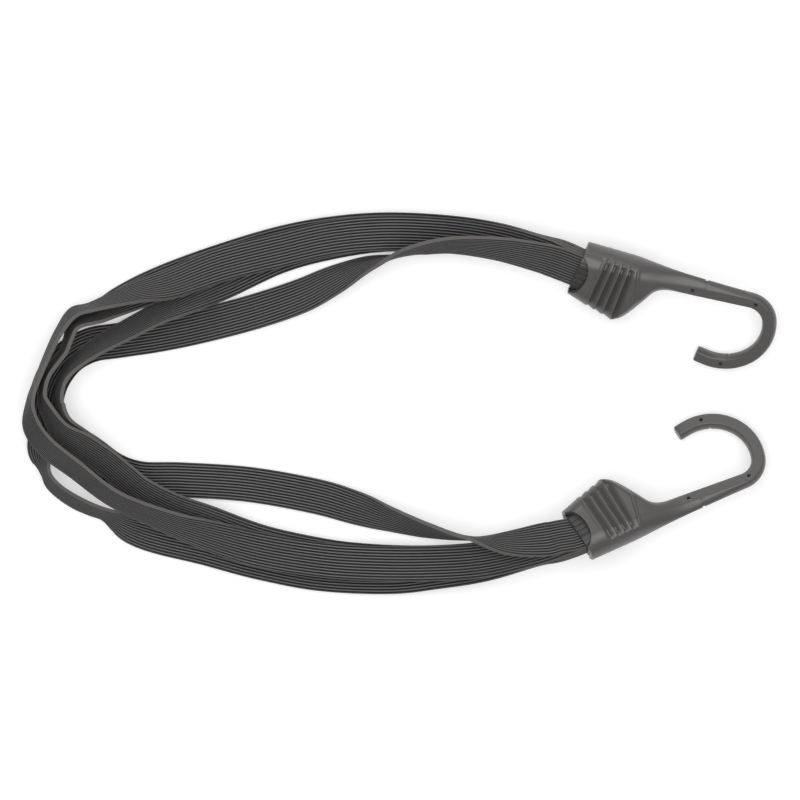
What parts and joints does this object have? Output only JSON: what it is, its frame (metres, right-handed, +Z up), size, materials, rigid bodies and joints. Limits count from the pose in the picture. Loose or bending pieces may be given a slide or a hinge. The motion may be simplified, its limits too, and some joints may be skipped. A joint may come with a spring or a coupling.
{
  "type": "bungee cord",
  "caption": "Flat bungee cord of ribbed woven elastic bands, clamped at each end in the socket of a moulded hook with a finger grip.",
  "frame": {"origin": "on the table, at the middle of the box round the two hooks", "axes": "+X from the left bend of the bands to the hooks, +Y from hook b to hook a, +Z up from the table"},
  "size_m": [0.3863, 0.1957, 0.037],
  "materials": {
    "moulding": "fine matt texture on dark grey glass-filled nylon",
    "collar": "matt dark grey",
    "wedge": "matt mid grey",
    "core": "drawn wire",
    "elastic": "ribbed charcoal weave over rubber threads"
  },
  "bodies": {
    "bands": {"band_outer": "elastic", "band_inner": "elastic", "band_crossing": "elastic", "band_drooping": "elastic"},
    "hook_a": {"hook_a_body": "moulding", "hook_a_core": "core", "hook_a_collar": "collar", "hook_a_wedge": "wedge"},
    "hook_b": {"hook_b_body": "moulding", "hook_b_core": "core", "hook_b_collar": "collar", "hook_b_wedge": "wedge"}
  },
  "joints": [
    {"name": "hook_a_stretch", "type": "slide", "parent": "bands", "child": "hook_a", "axis": [1, 0, 0], "range_m": [0, 0.25], "stiffness_N_per_m": 200, "deforming": ["band_outer", "band_inner", "band_crossing", "band_drooping"]},
    {"name": "hook_b_stretch", "type": "slide", "parent": "bands", "child": "hook_b", "axis": [1, 0, 0], "range_m": [0, 0.25], "stiffness_N_per_m": 200, "deforming": ["band_outer", "band_inner", "band_crossing", "band_drooping"]}
  ]
}
